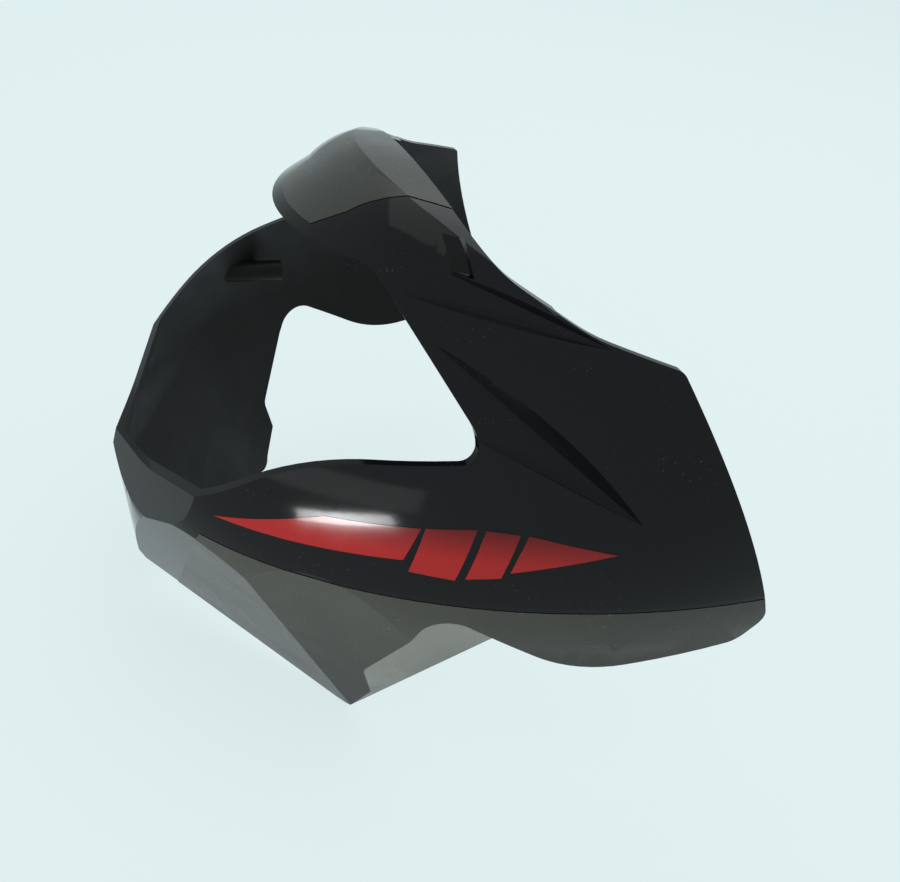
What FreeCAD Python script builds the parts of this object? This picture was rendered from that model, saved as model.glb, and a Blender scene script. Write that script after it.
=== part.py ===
import FreeCAD, Part
import math
import os

# Headlight visor of a motorbike: one thin moulded shell that wraps round the headlight.
# Millimetres. X across (the vehicle's left is +X), front is -Y, Z up.
# It is drawn with the ridge, its widest line, in the plane Z = 0 and the front of the brow near Y = 0,
# and then moved so that the origin is midway between the rear faces of the two lower screw bosses.

# Skin
WALL = 2.6                  # thickness of the moulding
RIDGE_HALF_WIDTH = 162.0    # widest half width, at the ridge
RIDGE_LENGTH = 240.0        # from the nose back to the widest section, before the chin is cut flat
RIDGE_REAR = 165.0          # place of the widest section behind the brow
DOME_HEIGHT = 188.0         # apex of the upper skin above the ridge, if it went on unbroken
SKIRT_DEPTH = 100.0         # how far the lower skin goes on below the ridge before it is trimmed
SKIRT_TAPER = 13.0          # how far the lower skin's sides pull in over that depth
SKIRT_NOSE_TAPER = 12.0     # how far its nose falls back over that depth

# Chin: flat faces in pairs, as the place of their middle at the ridge, their fall to each side and to the top
CHIN_FRONT = (-73.0, 0.30, 0.22)
CHIN_BOW = (-103.0, 0.70, -0.52)
CHIN_SIDE = (-164.4, 1.392, -0.448)

# Hump over the brow: an ellipsoid that swells out of the upper skin, and a flatter one that tops both.
# Each as its centre (Y, Z) and half its width, length and height.
HUMP_CENTRE = (58.0, 92.0)
HUMP_HALF_SIZE = (82.0, 53.0, 38.0)
ROOF_CENTRE = (-20.0, 0.0)
ROOF_HALF_SIZE = (190.0, 300.0, 128.0)
ROOF_FROM = 100.0           # the roof tops only what stands higher than this

# Grooves in each side, with a flat floor between two sloping sides: one behind the rear corner of the
# headlight opening, one under the hump. Each is widest at the front, between its upper and lower crease,
# and runs out at its end, all as (Y, Z). Its depth is that of the floor below the line between the creases.
WING_GROOVE_UPPER = (42.0, 85.0)
WING_GROOVE_LOWER = (60.0, 56.0)
WING_GROOVE_END = (105.0, 36.0)
WING_GROOVE_DEPTH = 2.0
TOP_GROOVE_UPPER = (46.0, 107.0)
TOP_GROOVE_LOWER = (31.0, 98.0)
TOP_GROOVE_END = (98.0, 91.5)
TOP_GROOVE_DEPTH = 0.8
GROOVES = (
    (WING_GROOVE_UPPER, WING_GROOVE_LOWER, WING_GROOVE_END, WING_GROOVE_DEPTH),
    (TOP_GROOVE_UPPER, TOP_GROOVE_LOWER, TOP_GROOVE_END, TOP_GROOVE_DEPTH),
)

# Side view of the whole visor, as corners (Y, Z, corner radius), clockwise from the front
FRONT_LIMIT = -120.0
TOP_LIMIT = 160.0
SIDE_OUTLINE = (
    (FRONT_LIMIT, TOP_LIMIT, 0.0),
    (49.0, TOP_LIMIT, 0.0),
    (51.0, 129.0, 12.0),        # rear of the hump
    (61.0, 110.0, 30.0),
    (92.0, 94.5, 60.0),
    (124.0, 86.0, 4.0),         # rear upper corner
    (145.5, 40.0, 200.0),
    (171.0, -15.0, 8.0),        # rear lower corner
    (161.0, -27.5, 12.0),
    (92.0, -38.5, 60.0),
    (34.0, -7.0, 12.0),         # notch behind the tip
    (15.0, -60.0, 8.0),
    (20.0, -76.0, 2.0),         # barb of the tip
    (14.0, -96.0, 3.0),         # tip
    (-58.0, -77.0, 6.0),
    (FRONT_LIMIT, -64.0, 0.0),
)

# Side view of the headlight opening
HEADLIGHT_OPENING = (
    (FRONT_LIMIT, 2.0, 0.0),
    (-63.0, 1.5, 10.0),         # top of the chin's nose
    (-12.0, 44.5, 90.0),
    (52.0, 55.0, 8.0),          # rear corner
    (21.0, 103.0, 6.0),         # corner under the hump
    (FRONT_LIMIT, 103.0, 0.0),
)

# Slots for clips, one in each flank of the hump
SLOT_PLACE = 50.5           # middle, behind the brow
SLOT_LEVEL = 111.0          # middle, above the ridge
SLOT_HEIGHT = 10.0
SLOT_WIDTH = 7.0

# Bosses inside, for the screws that hold the visor, as X, Z and the place of their rear face
BOSS_DIAMETER = 11.0
BOSS_BORE = 4.2
BOSS_BORE_DEPTH = 10.0
LOWER_BOSS = (112.0, 22.0, 24.0)
UPPER_BOSS = (84.0, 97.0, 66.0)

REACH = 400.0               # half length of a cutting prism, well past the skin
INNER_APEX_SHARE = 1.25     # the upper skin leans, so its inner apex drops by more than the wall


def point(y, z, x=0.0):
    return FreeCAD.Vector(x, y, z)


def dome(inset):
    """Upper skin as a solid, drawn in from the outer face by inset."""
    half_width = RIDGE_HALF_WIDTH - inset
    apex = DOME_HEIGHT - INNER_APEX_SHARE * inset
    ridge = FreeCAD.Vector(half_width, 0, 0)
    shoulder = FreeCAD.Vector(half_width, 0, apex / 2)
    top = FreeCAD.Vector(0, 0, apex)
    foot = FreeCAD.Vector(0, 0, 0)
    curve = Part.BezierCurve()
    curve.setPoles([ridge, shoulder, top])
    edges = [Part.makeLine(foot, ridge), curve.toShape(), Part.makeLine(top, foot)]
    turned = Part.Face(Part.Wire(edges)).revolve(foot, FreeCAD.Vector(0, 0, 1), 360)
    stretch = FreeCAD.Matrix()
    stretch.scale(1.0, (RIDGE_LENGTH - inset) / half_width, 1.0)
    solid = turned.transformGeometry(stretch)
    solid.translate(FreeCAD.Vector(0, RIDGE_REAR, 0))
    return solid


def plan_ellipse(half_width, length, z):
    centre = point(RIDGE_REAR, z)
    nose = point(RIDGE_REAR - length, z)
    flank = point(RIDGE_REAR, z, half_width)
    return Part.Wire(Part.Ellipse(nose, flank, centre).toShape())


def skirt(inset):
    """Lower skin as a solid, drawn in from the outer face by inset."""
    ridge = plan_ellipse(RIDGE_HALF_WIDTH - inset, RIDGE_LENGTH - inset, 0.0)
    half_width = RIDGE_HALF_WIDTH - SKIRT_TAPER - inset
    foot = plan_ellipse(half_width, RIDGE_LENGTH - SKIRT_NOSE_TAPER - inset, -SKIRT_DEPTH)
    return Part.makeLoft([foot, ridge], True, True)


def beyond_plane(place, normal, side, inset):
    """The space beyond a plane of the left side, or of its mirror image, drawn in by inset."""
    facing = FreeCAD.Vector(side * normal.x, normal.y, normal.z)
    base = FreeCAD.Vector(side * place.x, place.y, place.z) - facing * inset
    block = Part.makeBox(2 * REACH, 2 * REACH, REACH, FreeCAD.Vector(-REACH, -REACH, 0))
    block.Placement = FreeCAD.Placement(base, FreeCAD.Rotation(FreeCAD.Vector(0, 0, 1), facing))
    return block


def ahead_of_face(side, middle, side_fall, top_fall, inset):
    """The space ahead of one flat face of the chin, which is cut away."""
    normal = FreeCAD.Vector(side_fall, -1.0, top_fall)
    normal.normalize()
    return beyond_plane(point(middle, 0.0), normal, side, inset)


def ellipsoid(centre, half_size, inset):
    stretch = FreeCAD.Matrix()
    stretch.scale(*[half - inset for half in half_size])
    solid = Part.makeSphere(1.0).transformGeometry(stretch)
    solid.translate(point(*centre))
    return solid


def above_roof(inset):
    """The space above the hump's flatter top, which is cut away."""
    block = Part.makeBox(2 * REACH, 2 * REACH, REACH, point(-REACH, ROOF_FROM, -REACH))
    return block.cut(ellipsoid(ROOF_CENTRE, ROOF_HALF_SIZE, inset))


def on_dome(y, z):
    """Point of the upper skin's outer face on the left side, at a place of the side view."""
    share = 1.0 - (z / DOME_HEIGHT) ** 2
    along = (RIDGE_REAR - y) / RIDGE_LENGTH
    return point(y, z, RIDGE_HALF_WIDTH * math.sqrt(share ** 2 - along ** 2))


def groove(side, upper_crease, lower_crease, run_out, depth, inset):
    """The space outside the floor and both sides of one groove, which is cut away."""
    upper = on_dome(*upper_crease)
    lower = on_dome(*lower_crease)
    end = on_dome(*run_out)
    outward = (lower - upper).cross(end - upper)
    outward.normalize()
    across = lower - upper
    across.normalize()
    sunk = (upper + lower) * 0.5 - outward * depth
    floor = across.cross(end - sunk)
    upper_side = (across - outward).cross(end - upper)
    lower_side = (end - lower).cross(-across - outward)
    space = None
    for place, normal in ((end, floor), (upper, upper_side), (lower, lower_side)):
        normal.normalize()
        beyond = beyond_plane(place, normal, side, inset)
        space = beyond if space is None else space.common(beyond)
    return space


def skin(inset):
    body = dome(inset).fuse([skirt(inset), ellipsoid(HUMP_CENTRE, HUMP_HALF_SIZE, inset)])
    away = [above_roof(inset)]
    for side in (1, -1):
        for face in (CHIN_FRONT, CHIN_BOW, CHIN_SIDE):
            away.append(ahead_of_face(side, *face, inset))
        for sizes in GROOVES:
            away.append(groove(side, *sizes, inset))
    return body.cut(away)


def side_prism(corners):
    """Prism across the visor over a side view with rounded corners (Y, Z, radius)."""
    edges = []
    ends = []
    count = len(corners)
    for index, (y, z, radius) in enumerate(corners):
        here = point(y, z)
        before = point(*corners[index - 1][:2]) - here
        after = point(*corners[(index + 1) % count][:2]) - here
        before.normalize()
        after.normalize()
        half_angle = before.getAngle(after) / 2
        if radius == 0.0:
            ends.append((here, here, None))
            continue
        run = radius / math.tan(half_angle)
        middle = before + after
        middle.normalize()
        crown = here + middle * (radius / math.sin(half_angle) - radius)
        ends.append((here + before * run, here + after * run, crown))
    for index, (start, end, crown) in enumerate(ends):
        if crown is not None:
            edges.append(Part.Arc(start, crown, end).toShape())
        edges.append(Part.makeLine(end, ends[(index + 1) % count][0]))
    face = Part.Face(Part.Wire(edges))
    face.translate(FreeCAD.Vector(-REACH, 0, 0))
    return face.extrude(FreeCAD.Vector(2 * REACH, 0, 0))


def slots():
    """One block across the hump that cuts the slot in both flanks."""
    corner = point(SLOT_PLACE - SLOT_WIDTH / 2, SLOT_LEVEL - SLOT_HEIGHT / 2, -REACH)
    return Part.makeBox(2 * REACH, SLOT_WIDTH, SLOT_HEIGHT, corner)


def boss(side, x, z, rear):
    """Round bar that ends at the boss's rear face, and the bore for its screw."""
    back = FreeCAD.Vector(side * x, rear, z)
    forward = FreeCAD.Vector(0, -1, 0)
    bar = Part.makeCylinder(BOSS_DIAMETER / 2, REACH, back, forward)
    bore = Part.makeCylinder(BOSS_BORE / 2, BOSS_BORE_DEPTH, back, forward)
    return bar, bore


def visor_shell():
    outer = skin(0.0)
    shell = outer.cut(skin(WALL))
    bores = []
    for side in (1, -1):
        for place in (LOWER_BOSS, UPPER_BOSS):
            bar, bore = boss(side, *place)
            shell = shell.fuse(bar.common(outer))
            bores.append(bore)
    shell = shell.common(side_prism(SIDE_OUTLINE))
    shell = shell.cut([side_prism(HEADLIGHT_OPENING), slots()] + bores)
    solid = shell.Solids[0]
    solid.translate(FreeCAD.Vector(0, -LOWER_BOSS[2], -LOWER_BOSS[1]))
    return solid


if __name__ == "__main__":
    os.makedirs("parts", exist_ok=True)
    visor_shell().exportStep("parts/visor_shell.step")
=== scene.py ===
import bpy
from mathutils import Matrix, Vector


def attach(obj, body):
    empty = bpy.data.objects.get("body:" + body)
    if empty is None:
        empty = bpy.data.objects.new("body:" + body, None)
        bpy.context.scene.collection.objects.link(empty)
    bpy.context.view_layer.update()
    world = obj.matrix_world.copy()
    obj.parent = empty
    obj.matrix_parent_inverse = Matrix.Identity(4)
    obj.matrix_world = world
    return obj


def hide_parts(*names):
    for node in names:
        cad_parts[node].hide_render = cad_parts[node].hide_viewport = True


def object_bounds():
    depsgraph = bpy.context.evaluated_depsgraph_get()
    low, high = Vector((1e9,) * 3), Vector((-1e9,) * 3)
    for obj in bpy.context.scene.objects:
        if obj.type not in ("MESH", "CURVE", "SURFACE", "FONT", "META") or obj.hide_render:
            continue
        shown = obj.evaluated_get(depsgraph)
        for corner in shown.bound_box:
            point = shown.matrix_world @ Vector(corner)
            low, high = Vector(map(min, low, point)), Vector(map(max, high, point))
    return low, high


bl_info = {
    "name": "Headlight visor",
    "version": (1, 0, 0),
    "blender": (4, 5, 0),
    "location": "View3D > Sidebar > Visor",
    "description": "Paints the moulded headlight visor, lays its side flashes and film on it "
                   "and sets the studio",
    "category": "Object",
}

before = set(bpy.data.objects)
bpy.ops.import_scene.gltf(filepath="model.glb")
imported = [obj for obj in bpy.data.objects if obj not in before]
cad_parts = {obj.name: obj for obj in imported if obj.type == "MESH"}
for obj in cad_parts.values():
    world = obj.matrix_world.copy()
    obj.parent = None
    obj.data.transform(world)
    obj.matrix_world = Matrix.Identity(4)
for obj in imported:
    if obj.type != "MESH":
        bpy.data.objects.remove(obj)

import math

import bmesh
import bpy
from mathutils import Matrix, Vector

CAD_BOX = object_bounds()
NODE = "visor_shell"
BODY = "root"
SIDES = ((1, "left"), (-1, "right"))

# Forms under the paint, in metres: the ridge's plan and the dome over it, the hump and the roof
# as centre and half size, and the facings of the chin's flat faces on the left
RIDGE_Z = -0.022
RIDGE_HALF_WIDTH = 0.162
RIDGE_LENGTH = 0.240
RIDGE_REAR = 0.141
DOME_HEIGHT = 0.188
HUMP = ((0.0, 0.034, 0.070), (0.082, 0.053, 0.038))
ROOF = ((0.0, -0.044, -0.022), (0.190, 0.300, 0.128))
CHIN_FACINGS = tuple(Vector(facing).normalized() for facing in (
    (0.30, -1.0, 0.22), (0.70, -1.0, -0.52), (1.392, -1.0, -0.448)))

# Screw bosses along Y: places (X, Z) of the left ones, their radius, and how little their walls
# and how much their ends face along Y
BOSS_AXES = ((0.112, 0.0), (0.084, 0.075))
BOSS_RADIUS = 0.0062
BOSS_WALL_FACING = 0.02
BOSS_END_FACING = 0.98

# Tests of a face: how far a skin faces out or in, and how near a face lies to a form
SKIN_FACING = 0.45
ON_FORM = 0.0006
NEAR_FORM = math.cos(math.radians(7))
ON_PLANE = math.cos(math.radians(0.6))

# Mesh work
SMOOTH_ANGLE = math.radians(24)
MERGE_DISTANCE = 2e-6
CUT_TOLERANCE = 1e-7

# Side flashes, as convex outlines (Y, Z) in side view, clockwise
FLASHES = {
    "spear": ((-0.066, -0.0115), (-0.030, 0.0045), (0.002, 0.0075), (-0.004, -0.006)),
    "bar_front": ((0.0035, 0.0078), (0.021, 0.0100), (0.014, -0.0115), (-0.002, -0.0105)),
    "bar_middle": ((0.024, 0.0100), (0.036, 0.0095), (0.030, -0.0085), (0.0175, -0.0105)),
    "tail": ((0.039, 0.0095), (0.072, 0.0030), (0.033, -0.0060)),
}
FLASH_LIFT_SHARE = 0.25

# Film on the band: its edge under the ridge, its front edge across the bow, its gap at the bottom
FILM_TOP = RIDGE_Z - 0.0022
FILM_FRONT = (0.072, -0.072, -0.030)
FILM_FRONT_FACING = (-0.58, -0.66, 0.476)
FILM_BOTTOM_GAP = 0.0004

# Loose film over the left notch behind the chin: the ends of its lower edge (Y, Z) and its top
NOTCH_LOW = (-0.0105, -0.1174)
NOTCH_HIGH = (0.034, -0.0455)
NOTCH_TOP = -0.0262

# Film on the hump: its lowest edge, its half width at Y = 0, and how much it widens to the rear
HUMP_FILM_FROM = 0.084
HUMP_FILM_HALF = 0.033
HUMP_FILM_FLARE = 0.43

# Marks that every finish shares: edges of dust specks and of dusty patches, and smears
SPECK_EDGE = (0.16, 0.05)
DUST_PATCHES = {"Scale": 34.0, "Detail": 4.0}
DUST_PATCH_EDGE = (0.50, 0.72)
SMEARS = {"Detail": 6.0, "Roughness": 0.6, "Distortion": 0.8}
SMEAR_RANGE = (0.3, 0.7)

# Finishes: marks, colour of the dust, roughness from clean to smeared, noise of the grain,
# strength and distance of its bump, and specular level
PAINT = {
    "marks": {"Dust Scale": 420.0, "Dust Share": 0.22, "Smear Scale": 22.0},
    "dust": (0.35, 0.35, 0.33),
    "roughness": (0.055, 0.13),
    "grain": {"Scale": 260.0, "Detail": 2.0},
    "bump": (0.035, 0.0004),
    "specular": 0.14,
}
MOULDING = {
    "marks": {"Dust Scale": 300.0, "Dust Share": 0.3, "Smear Scale": 30.0},
    "dust": (0.20, 0.20, 0.19),
    "roughness": (0.38, 0.56),
    "grain": {"Scale": 1400.0, "Detail": 3.0},
    "bump": (0.18, 0.0003),
    "specular": 0.13,
}
FLASH = {
    "marks": {"Smear Scale": 26.0},
    "roughness": (0.10, 0.20),
    "grain": {"Scale": 420.0, "Detail": 2.0},
    "bump": (0.03, 0.0003),
    "specular": 0.17,
}
FILM = {
    "marks": {"Dust Scale": 300.0, "Dust Share": 0.4, "Smear Scale": 18.0},
    "dust": (0.42, 0.42, 0.40),
    "roughness": (0.20, 0.36),
    "grain": {"Scale": 38.0, "Detail": 1.5, "Distortion": 0.5},
    "bump": (0.22, 0.0014),
    "specular": 0.22,
}

# Flashes: the heights between which they darken, how far, and their clear coat
FLASH_FADE_Z = (-0.003, 0.011)
FLASH_FADE = 0.82
FLASH_DARK_SHARE = 0.06
FLASH_COAT_WEIGHT = 0.15
FLASH_COAT_ROUGHNESS = 0.06

# Film: how dense it is where it lies and where it hangs loose, its bubbles, and its drawn creases
LAID_DENSITY = (0.82, 0.95)
LOOSE_DENSITY = (0.60, 0.80)
BUBBLE_SCALE = 52.0
BUBBLE_EDGE = (0.04, 0.16)
BUBBLE_HEIGHT = 0.12
CREASE_PULL = (1.0, 0.45, 1.5)

# Camera of the photograph, in an image of 900 x 882
CAMERA_PLACE = Vector((0.3914, -0.1098, 0.2374))
CAMERA_FORWARD = Vector((-0.7609, 0.3408, -0.5522))
CAMERA_RIGHT = Vector((0.3355, 0.9350, 0.1148))
CAMERA_LENS = 40.0
CAMERA_SENSOR = 36.0
CAMERA_CLIP_START = 0.01

# Studio: the floor's finish, how strongly it glows and in what share of what is seen, and the
# world's strength as light on the object and as background
FLOOR_ROUGHNESS = 0.9
FLOOR_GLOW = 1.10
FLOOR_GLOW_SHARE = 0.80
WORLD_LIGHT = 0.40
WORLD_SEEN = 0.97

# Lamps: place, target, width, height and power
LAMPS = {
    "softbox_side": ((0.42, -0.345, -0.050), (0.112, -0.025, 0.004), 0.22, 0.045, 0.095),
    "softbox_top": ((-0.3, 0.5, 1.5), (0.0, 0.05, 0.0), 2.2, 2.2, 14.0),
    "softbox_front": ((0.75, -0.95, 0.15), (0.10, -0.02, 0.01), 1.1, 0.22, 1.1),
}

# The side lamp is a narrow strip whose reflection lies along the chin's side
STRIP = "softbox_side"
STRIP_ROLL = math.radians(16)
STRIP_SPREAD = math.radians(40)


class VisorSizes(bpy.types.PropertyGroup):
    """Thicknesses of what lies on the moulding, and the floor's size"""

    flash_thickness: bpy.props.FloatProperty(
        name="Flash thickness", description="Thickness of the red side flashes",
        default=0.00016, min=0.00005, unit="LENGTH")
    film_lift: bpy.props.FloatProperty(
        name="Film lift", description="Air between the paint and the film",
        default=0.00020, min=0.0001, unit="LENGTH")
    film_thickness: bpy.props.FloatProperty(
        name="Film thickness", description="Thickness of the protective film",
        default=0.00008, min=0.00003, unit="LENGTH")
    floor_half: bpy.props.FloatProperty(
        name="Floor half width", description="Half width of the studio floor",
        default=6.0, min=1.0, unit="LENGTH")


class VisorColours(bpy.types.PropertyGroup):
    """Colours of the finishes"""

    paint: bpy.props.FloatVectorProperty(
        name="Paint", description="Gloss black of the outside", subtype="COLOR",
        default=(0.0065, 0.0065, 0.0070), min=0.0, max=1.0)
    moulding: bpy.props.FloatVectorProperty(
        name="Moulding", description="Bare plastic of the inside", subtype="COLOR",
        default=(0.010, 0.010, 0.0095), min=0.0, max=1.0)
    flash: bpy.props.FloatVectorProperty(
        name="Flash", description="Red of the side flashes", subtype="COLOR",
        default=(0.32, 0.012, 0.011), min=0.0, max=1.0)
    film: bpy.props.FloatVectorProperty(
        name="Film", description="Haze of the protective film", subtype="COLOR",
        default=(0.060, 0.061, 0.053), min=0.0, max=1.0)
    # The loose film's colour is lighter than the laid film's: painted backlight, standing in for
    # light that comes through the hanging film
    loose_film_painted_backlight: bpy.props.FloatVectorProperty(
        name="Loose film", description="Haze of the film where light comes through it",
        subtype="COLOR", default=(0.20, 0.20, 0.172), min=0.0, max=1.0)
    floor: bpy.props.FloatVectorProperty(
        name="Floor", description="Pale floor and background", subtype="COLOR",
        default=(0.752, 0.863, 0.871), min=0.0, max=1.0)


def dome_at(place):
    """Distance of a place from the dome, and the dome's normal there."""
    height = place.z - RIDGE_Z
    share = 1.0 - (height / DOME_HEIGHT) ** 2
    across = place.x / RIDGE_HALF_WIDTH
    along = (place.y - RIDGE_REAR) / RIDGE_LENGTH
    slope = Vector((across / RIDGE_HALF_WIDTH, along / RIDGE_LENGTH,
                    2 * share * height / DOME_HEIGHT ** 2))
    value = across ** 2 + along ** 2 - share ** 2
    return value / (2 * slope.length), slope.normalized()


def ellipsoid_at(place, centre, half_size):
    """Distance of a place from an ellipsoid, and the ellipsoid's normal there."""
    parts = [(place[axis] - centre[axis]) / half_size[axis] for axis in range(3)]
    slope = Vector([parts[axis] / half_size[axis] for axis in range(3)])
    value = sum(part ** 2 for part in parts) - 1.0
    return value / (2 * slope.length), slope.normalized()


def outward(place):
    """The way that the painted skin faces near a place of the moulding."""
    return dome_at(Vector((place.x, place.y, max(place.z, RIDGE_Z))))[1]


def on_boss(face):
    """A face of a screw boss or of its bore."""
    centre = face.calc_center_median()
    along = face.normal.y
    if abs(along) >= BOSS_WALL_FACING and along <= BOSS_END_FACING:
        return False
    return any(math.hypot(abs(centre.x) - x, centre.z - z) < BOSS_RADIUS for x, z in BOSS_AXES)


def is_painted(face):
    """A face of the outer skin."""
    facing = face.normal.dot(outward(face.calc_center_median()))
    return facing > SKIN_FACING and not on_boss(face)


def is_bare(face):
    """A face of the inner skin or of a boss."""
    facing = face.normal.dot(outward(face.calc_center_median()))
    return facing < -SKIN_FACING or on_boss(face)


def only(piece):
    """Leaves one piece selected and active."""
    bpy.ops.object.select_all(action="DESELECT")
    piece.select_set(True)
    bpy.context.view_layer.objects.active = piece


def pick_faces(piece, wanted):
    """Selects the faces of the piece in edit mode that the test wants."""
    bpy.ops.mesh.select_mode(type="FACE")
    bpy.ops.mesh.select_all(action="DESELECT")
    shape = bmesh.from_edit_mesh(piece.data)
    for face in shape.faces:
        face.select_set(bool(wanted(face)))
    bmesh.update_edit_mesh(piece.data)


def give_second_finish(piece):
    """Gives the selected faces the piece's second finish."""
    piece.active_material_index = 1
    bpy.ops.object.material_slot_assign()


def merged_moulding(name, *materials):
    """A copy of the moulding in its own finishes, as one closed surface in edit mode."""
    piece = bpy.data.objects.new(name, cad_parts[NODE].data.copy())
    bpy.context.scene.collection.objects.link(piece)
    piece.data.materials.clear()
    for material in materials:
        piece.data.materials.append(material)
    only(piece)
    bpy.ops.object.mode_set(mode="EDIT")
    bpy.ops.mesh.select_all(action="SELECT")
    bpy.ops.mesh.remove_doubles(threshold=MERGE_DISTANCE)
    bpy.ops.mesh.customdata_custom_splitnormals_clear()
    return piece


def painted_skin(name, *materials):
    """The painted outside alone, as an open sheet in edit mode."""
    piece = merged_moulding(name, *materials)
    pick_faces(piece, is_painted)
    bpy.ops.mesh.select_all(action="INVERT")
    bpy.ops.mesh.delete(type="FACE")
    return piece


def keep_side(point, normal):
    """Cuts the sheet in edit mode by a plane and keeps what lies behind the plane's normal."""
    bpy.ops.mesh.select_all(action="SELECT")
    bpy.ops.mesh.bisect(plane_co=point, plane_no=normal, clear_outer=True, threshold=CUT_TOLERANCE)


def keep_half(side):
    """Keeps one side of the sheet."""
    keep_side((0, 0, 0), (-side, 0, 0))


def keep_outline(outline):
    """Trims the sheet to a convex outline in side view."""
    for (y, z), (next_y, next_z) in zip(outline, outline[1:] + outline[:1]):
        keep_side((0, y, z), (0, z - next_z, next_y - y))


def mirrored(side, vector):
    """A place or facing of the left side, taken to the given side."""
    x, y, z = vector
    return side * x, y, z


def bridge_notch(piece):
    """Fills the left sheet over the notch behind the chin, down to a straight lower edge."""
    run = NOTCH_HIGH[0] - NOTCH_LOW[0]
    rise = NOTCH_HIGH[1] - NOTCH_LOW[1]

    def in_notch(place):
        above = (place.z - NOTCH_LOW[1]) * run >= (place.y - NOTCH_LOW[0]) * rise
        return above and NOTCH_LOW[0] <= place.y <= NOTCH_HIGH[0] and place.z < NOTCH_TOP

    bpy.ops.mesh.select_mode(type="EDGE")
    bpy.ops.mesh.select_all(action="DESELECT")
    shape = bmesh.from_edit_mesh(piece.data)
    for edge in shape.edges:
        edge.select_set(edge.is_boundary and all(in_notch(vertex.co) for vertex in edge.verts))
    bmesh.update_edit_mesh(piece.data)
    bpy.ops.mesh.edge_face_add()
    shape = bmesh.from_edit_mesh(piece.data)
    filled = [face for face in shape.faces if face.select]
    if len(filled) != 1:
        raise RuntimeError("the film doesn't close over the notch")
    if filled[0].normal.x < 0:
        bpy.ops.mesh.flip_normals()
    # The flap over the notch takes the loose film, whose lighter colour is painted backlight
    give_second_finish(piece)
    bpy.ops.mesh.quads_convert_to_tris()


def true_normals(piece):
    """Gives faces on the dome, the hump and the roof those forms' own normals, and keeps the
    chin's faces flat, for smooth reflections."""
    mesh = piece.data
    normals = [corner.vector.copy() for corner in mesh.corner_normals]
    for face in mesh.polygons:
        left_facing = Vector((abs(face.normal.x), face.normal.y, face.normal.z))
        flat = any(left_facing.dot(facing) > ON_PLANE for facing in CHIN_FACINGS)
        for index in face.loop_indices:
            if flat:
                normals[index] = face.normal.copy()
                continue
            place = mesh.vertices[mesh.loops[index].vertex_index].co
            forms = dome_at(place), ellipsoid_at(place, *HUMP), ellipsoid_at(place, *ROOF)
            for distance, true in forms:
                if abs(distance) < ON_FORM and face.normal.dot(true) > NEAR_FORM:
                    normals[index] = true
                    break
    mesh.normals_split_custom_set(normals)


def finish_piece(piece):
    """Smooths the piece and fixes it to its body."""
    only(piece)
    bpy.ops.object.shade_smooth_by_angle(angle=SMOOTH_ANGLE)
    true_normals(piece)
    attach(piece, BODY)


def lay_sheet(piece, lift, thickness):
    """Lifts the trimmed sheet off the paint, gives it its thickness and finishes it."""
    bpy.ops.object.mode_set(mode="OBJECT")
    raise_up = piece.modifiers.new("lift", "DISPLACE")
    raise_up.direction = "NORMAL"
    raise_up.mid_level = 0.0
    raise_up.strength = lift
    wall = piece.modifiers.new("thickness", "SOLIDIFY")
    wall.thickness = thickness
    wall.offset = 1.0
    only(piece)
    for modifier in ("lift", "thickness"):
        bpy.ops.object.modifier_apply(modifier=modifier)
    finish_piece(piece)


def add_node(tree, kind, values=()):
    """A new node with the values of its sockets, by name."""
    node = tree.nodes.new(kind)
    for name, value in dict(values).items():
        node.inputs[name].default_value = value
    return node


def calculate(tree, operation, *values):
    """The result of a Math node on outputs of other nodes and plain numbers."""
    node = tree.nodes.new("ShaderNodeMath")
    node.operation = operation
    for socket, value in zip(node.inputs, values):
        if isinstance(value, bpy.types.NodeSocket):
            tree.links.new(value, socket)
        else:
            socket.default_value = value
    return node.outputs["Value"]


def ranged(tree, value, low, high, start, stop):
    """A value that goes from low to high while the given one goes from start to stop."""
    spread = add_node(tree, "ShaderNodeMapRange", {
        "From Min": start, "From Max": stop, "To Min": low, "To Max": high})
    tree.links.new(value, spread.inputs["Value"])
    return spread.outputs["Result"]


def noise(tree, place, values):
    """Noise at a place, with its scale and other values by name."""
    node = add_node(tree, "ShaderNodeTexNoise", values)
    tree.links.new(place, node.inputs["Vector"])
    return node.outputs["Fac"]


def surface_marks_group():
    """Dust specks in patches, and soft smears, for every finish."""
    group = bpy.data.node_groups.get("surface_marks")
    if group:
        return group
    group = bpy.data.node_groups.new("surface_marks", "ShaderNodeTree")
    for name, way, kind in (
            ("Vector", "INPUT", "NodeSocketVector"), ("Dust Scale", "INPUT", "NodeSocketFloat"),
            ("Dust Share", "INPUT", "NodeSocketFloat"), ("Smear Scale", "INPUT", "NodeSocketFloat"),
            ("Dust", "OUTPUT", "NodeSocketFloat"), ("Smear", "OUTPUT", "NodeSocketFloat")):
        group.interface.new_socket(name=name, in_out=way, socket_type=kind)
    given = group.nodes.new("NodeGroupInput").outputs
    result = group.nodes.new("NodeGroupOutput").inputs
    specks = group.nodes.new("ShaderNodeTexVoronoi")
    specks.feature = "F1"
    group.links.new(given["Vector"], specks.inputs["Vector"])
    group.links.new(given["Dust Scale"], specks.inputs["Scale"])
    near = ranged(group, specks.outputs["Distance"], 0.0, 1.0, *SPECK_EDGE)
    patches = noise(group, given["Vector"], DUST_PATCHES)
    dusty = calculate(group, "MULTIPLY", near, ranged(group, patches, 0.0, 1.0, *DUST_PATCH_EDGE))
    group.links.new(calculate(group, "MULTIPLY", dusty, given["Dust Share"]), result["Dust"])
    smear = add_node(group, "ShaderNodeTexNoise", SMEARS)
    group.links.new(given["Vector"], smear.inputs["Vector"])
    group.links.new(given["Smear Scale"], smear.inputs["Scale"])
    group.links.new(smear.outputs["Fac"], result["Smear"])
    return group


def new_material(name):
    """A material, its node tree and its Principled shader."""
    material = bpy.data.materials.new(name)
    material.use_nodes = True
    return material, material.node_tree, material.node_tree.nodes["Principled BSDF"]


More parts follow.
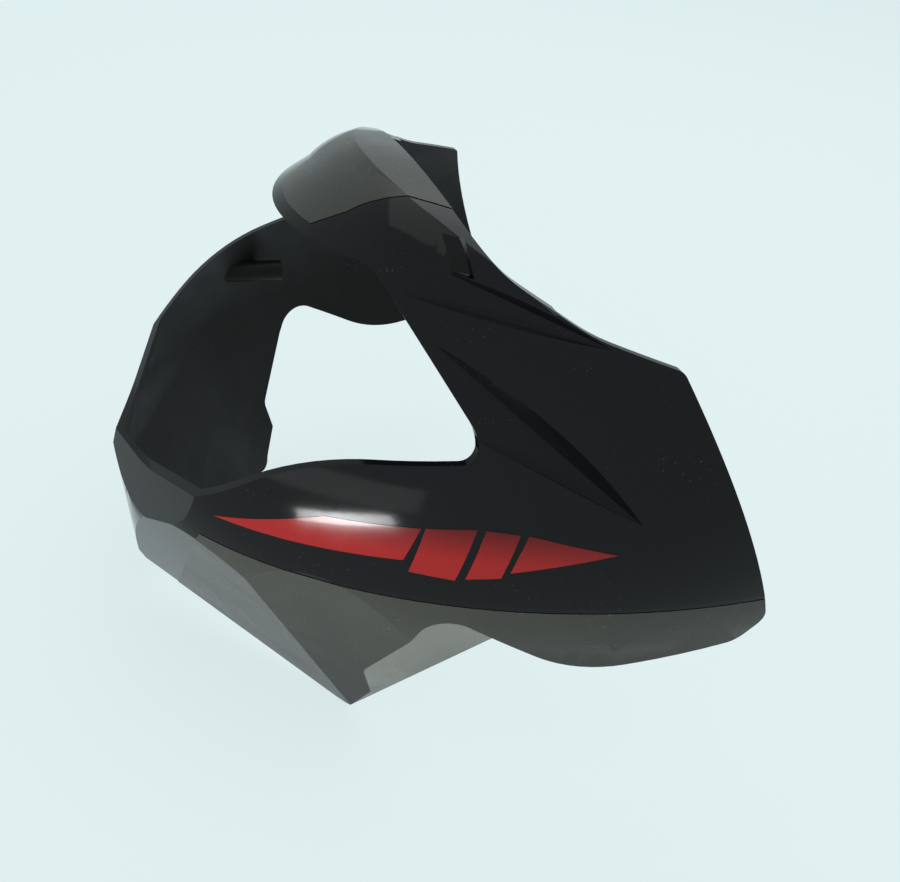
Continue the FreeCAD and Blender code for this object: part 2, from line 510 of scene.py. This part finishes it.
def start_finish(name, finish):
    """A material with its smeared gloss, and the place and marks for the rest of it."""
    material, tree, shader = new_material(name)
    place = tree.nodes.new("ShaderNodeTexCoord").outputs["Object"]
    marks = tree.nodes.new("ShaderNodeGroup")
    marks.node_tree = surface_marks_group()
    for socket, value in finish["marks"].items():
        marks.inputs[socket].default_value = value
    tree.links.new(place, marks.inputs["Vector"])
    roughness = ranged(tree, marks.outputs["Smear"], *finish["roughness"], *SMEAR_RANGE)
    tree.links.new(roughness, shader.inputs["Roughness"])
    shader.inputs["Specular IOR Level"].default_value = finish["specular"]
    return material, tree, shader, place, marks


def lay_colour(tree, shader, colour, other, mask):
    """Gives the shader its colour, and the other one where the mask says."""
    mix = tree.nodes.new("ShaderNodeMix")
    mix.data_type = "RGBA"
    mix.inputs["A"].default_value = (*colour, 1.0)
    mix.inputs["B"].default_value = (*other, 1.0)
    tree.links.new(mask, mix.inputs["Factor"])
    tree.links.new(mix.outputs["Result"], shader.inputs["Base Color"])


def lay_bump(tree, shader, height, strength, distance):
    """Gives the shader a bump from heights."""
    bump = add_node(tree, "ShaderNodeBump", {"Strength": strength, "Distance": distance})
    tree.links.new(height, bump.inputs["Height"])
    tree.links.new(bump.outputs["Normal"], shader.inputs["Normal"])


def dusty_material(name, colour, finish):
    """Paint or bare plastic, with dust on it and a fine grain."""
    material, tree, shader, place, marks = start_finish(name, finish)
    lay_colour(tree, shader, colour, finish["dust"], marks.outputs["Dust"])
    lay_bump(tree, shader, noise(tree, place, finish["grain"]), *finish["bump"])
    return material


def flash_material(colour):
    """Red vinyl that darkens towards its upper edge."""
    material, tree, shader, place, _ = start_finish("red_flash_vinyl", FLASH)
    along = tree.nodes.new("ShaderNodeSeparateXYZ")
    tree.links.new(place, along.inputs["Vector"])
    fade = ranged(tree, along.outputs["Z"], 0.0, FLASH_FADE, *FLASH_FADE_Z)
    dark = tuple(FLASH_DARK_SHARE * value for value in colour)
    lay_colour(tree, shader, colour, dark, fade)
    lay_bump(tree, shader, noise(tree, place, FLASH["grain"]), *FLASH["bump"])
    shader.inputs["Coat Weight"].default_value = FLASH_COAT_WEIGHT
    shader.inputs["Coat Roughness"].default_value = FLASH_COAT_ROUGHNESS
    return material


def film_material(name, colour, density):
    """Clear film gone hazy: it veils what is under it, with air bubbles and drawn creases."""
    material, tree, shader, place, marks = start_finish(name, FILM)
    lay_colour(tree, shader, colour, FILM["dust"], marks.outputs["Dust"])
    alpha = ranged(tree, marks.outputs["Smear"], *density, *SMEAR_RANGE)
    tree.links.new(alpha, shader.inputs["Alpha"])
    bubbles = tree.nodes.new("ShaderNodeTexVoronoi")
    bubbles.feature = "SMOOTH_F1"
    bubbles.inputs["Scale"].default_value = BUBBLE_SCALE
    tree.links.new(place, bubbles.inputs["Vector"])
    blister = ranged(tree, bubbles.outputs["Distance"], 1.0, 0.0, *BUBBLE_EDGE)
    pull = add_node(tree, "ShaderNodeMapping", {"Scale": CREASE_PULL})
    tree.links.new(place, pull.inputs["Vector"])
    creases = noise(tree, pull.outputs["Vector"], FILM["grain"])
    height = calculate(tree, "MULTIPLY_ADD", blister, BUBBLE_HEIGHT, creases)
    lay_bump(tree, shader, height, *FILM["bump"])
    return material


def seen_rays(tree):
    """1 for what the camera sees, straight or in gloss and glass, and 0 for light on the object."""
    path = tree.nodes.new("ShaderNodeLightPath").outputs
    either = calculate(tree, "MAXIMUM", path["Is Camera Ray"], path["Is Glossy Ray"])
    return calculate(tree, "MAXIMUM", either, path["Is Transmission Ray"])


class VISOR_OT_body(bpy.types.Operator):
    """Smooths the moulding and paints its outside, with the inside left bare"""

    bl_idname = "visor.body"
    bl_label = "Painted moulding"

    def execute(self, context):
        colours = context.scene.visor_colours
        paint = dusty_material("gloss_black_paint", colours.paint, PAINT)
        bare = dusty_material("bare_moulding", colours.moulding, MOULDING)
        piece = merged_moulding("visor_body", paint, bare)
        pick_faces(piece, is_bare)
        give_second_finish(piece)
        bpy.ops.object.mode_set(mode="OBJECT")
        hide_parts(NODE)
        finish_piece(piece)
        return {"FINISHED"}


class VISOR_OT_flashes(bpy.types.Operator):
    """Lays the red flashes on both sides of the chin"""

    bl_idname = "visor.flashes"
    bl_label = "Side flashes"

    def execute(self, context):
        material = flash_material(context.scene.visor_colours.flash)
        thickness = context.scene.visor_sizes.flash_thickness
        for side, side_name in SIDES:
            for name, outline in FLASHES.items():
                piece = painted_skin(f"flash_{name}_{side_name}", material)
                keep_half(side)
                keep_outline(outline)
                lay_sheet(piece, FLASH_LIFT_SHARE * thickness, thickness)
        return {"FINISHED"}


class VISOR_OT_film(bpy.types.Operator):
    """Lays the protective film on the band under the ridge and on the hump"""

    bl_idname = "visor.film"
    bl_label = "Protective film"

    def execute(self, context):
        sizes = context.scene.visor_sizes
        colours = context.scene.visor_colours
        laid = film_material("protective_film", colours.film, LAID_DENSITY)
        # The loose film is the same film in a lighter colour, which is painted backlight where it
        # hangs over the notch
        loose_backlit = film_material("loose_film_painted_backlight", colours.loose_film_painted_backlight, LOOSE_DENSITY)
        for side, side_name in SIDES:
            piece = painted_skin(f"film_band_{side_name}", laid, loose_backlit)
            keep_half(side)
            keep_side((0, 0, FILM_TOP), (0, 0, 1))
            keep_side((0, 0, CAD_BOX[0].z + FILM_BOTTOM_GAP), (0, 0, -1))
            keep_side(mirrored(side, FILM_FRONT), mirrored(side, FILM_FRONT_FACING))
            if side_name == "left":
                bridge_notch(piece)
            lay_sheet(piece, sizes.film_lift, sizes.film_thickness)
        piece = painted_skin("film_hump", laid)
        keep_side((0, 0, HUMP_FILM_FROM), (0, 0, -1))
        for side, _ in SIDES:
            keep_side((side * HUMP_FILM_HALF, 0, 0), (side, -HUMP_FILM_FLARE, 0))
        lay_sheet(piece, sizes.film_lift, sizes.film_thickness)
        return {"FINISHED"}


class VISOR_OT_stage(bpy.types.Operator):
    """Sets the floor, the soft studio light and the camera"""

    bl_idname = "visor.stage"
    bl_label = "Studio"

    def execute(self, context):
        scene = context.scene
        scene.view_settings.view_transform = "Standard"
        self.floor(scene)
        self.world(scene)
        lamps = {name: self.lamp(name, *values) for name, values in LAMPS.items()}
        lamps[STRIP].data.spread = STRIP_SPREAD
        lamps[STRIP].rotation_euler.rotate_axis("Z", STRIP_ROLL)
        self.camera(scene)
        return {"FINISHED"}

    def floor(self, scene):
        half = scene.visor_sizes.floor_half
        bpy.ops.object.select_all(action="DESELECT")
        bpy.ops.mesh.primitive_plane_add(size=2 * half, location=(0, 0, CAD_BOX[0].z))
        floor = bpy.context.active_object
        floor.name = "studio_floor"
        bpy.ops.object.transform_apply(location=True, rotation=True, scale=True)
        material, tree, shader = new_material("pale_floor")
        colour = (*scene.visor_colours.floor, 1.0)
        shader.inputs["Base Color"].default_value = colour
        shader.inputs["Roughness"].default_value = FLOOR_ROUGHNESS
        glow = add_node(tree, "ShaderNodeEmission", {"Color": colour, "Strength": FLOOR_GLOW})
        mix = tree.nodes.new("ShaderNodeMixShader")
        share = calculate(tree, "MULTIPLY", seen_rays(tree), FLOOR_GLOW_SHARE)
        tree.links.new(share, mix.inputs["Fac"])
        tree.links.new(shader.outputs["BSDF"], mix.inputs[1])
        tree.links.new(glow.outputs["Emission"], mix.inputs[2])
        tree.links.new(mix.outputs["Shader"], tree.nodes["Material Output"].inputs["Surface"])
        floor.data.materials.append(material)

    def world(self, scene):
        world = bpy.data.worlds.new("studio")
        world.use_nodes = True
        scene.world = world
        tree = world.node_tree
        background = tree.nodes["Background"]
        background.inputs["Color"].default_value = (*scene.visor_colours.floor, 1.0)
        strength = ranged(tree, seen_rays(tree), WORLD_LIGHT, WORLD_SEEN, 0.0, 1.0)
        tree.links.new(strength, background.inputs["Strength"])

    def lamp(self, name, place, target, width, height, power):
        bpy.ops.object.select_all(action="DESELECT")
        bpy.ops.object.light_add(type="AREA", location=place)
        lamp = bpy.context.active_object
        lamp.name = name
        lamp.data.shape = "RECTANGLE"
        lamp.data.size = width
        lamp.data.size_y = height
        lamp.data.energy = power
        lamp.visible_camera = False
        aim = Vector(target) - Vector(place)
        lamp.rotation_euler = aim.to_track_quat("-Z", "Y").to_euler()
        return lamp

    def camera(self, scene):
        bpy.ops.object.select_all(action="DESELECT")
        bpy.ops.object.camera_add(location=CAMERA_PLACE)
        camera = bpy.context.active_object
        camera.name = "photo_camera"
        camera.data.lens = CAMERA_LENS
        camera.data.sensor_width = CAMERA_SENSOR
        camera.data.clip_start = CAMERA_CLIP_START
        forward = CAMERA_FORWARD.normalized()
        up = CAMERA_RIGHT.cross(forward).normalized()
        right = forward.cross(up)
        camera.rotation_euler = Matrix((right, up, -forward)).transposed().to_euler()
        scene.camera = camera


class VISOR_PT_panel(bpy.types.Panel):
    """Sizes, colours and build steps of the visor"""

    bl_idname = "VISOR_PT_panel"
    bl_label = "Headlight visor"
    bl_space_type = "VIEW_3D"
    bl_region_type = "UI"
    bl_category = "Visor"

    def draw(self, context):
        for group in (context.scene.visor_sizes, context.scene.visor_colours):
            for name in group.__annotations__:
                self.layout.prop(group, name)
        for operator in BUILD_STEPS:
            self.layout.operator(operator.bl_idname)


BUILD_STEPS = (VISOR_OT_body, VISOR_OT_flashes, VISOR_OT_film, VISOR_OT_stage)
CLASSES = (VisorSizes, VisorColours, *BUILD_STEPS, VISOR_PT_panel)


def register():
    for kind in CLASSES:
        bpy.utils.register_class(kind)
    bpy.types.Scene.visor_sizes = bpy.props.PointerProperty(type=VisorSizes)
    bpy.types.Scene.visor_colours = bpy.props.PointerProperty(type=VisorColours)


def unregister():
    del bpy.types.Scene.visor_colours
    del bpy.types.Scene.visor_sizes
    for kind in reversed(CLASSES):
        bpy.utils.unregister_class(kind)


def main():
    register()
    bpy.ops.visor.body()
    bpy.ops.visor.flashes()
    bpy.ops.visor.film()
    bpy.ops.visor.stage()


if __name__ == "__main__":
    main()
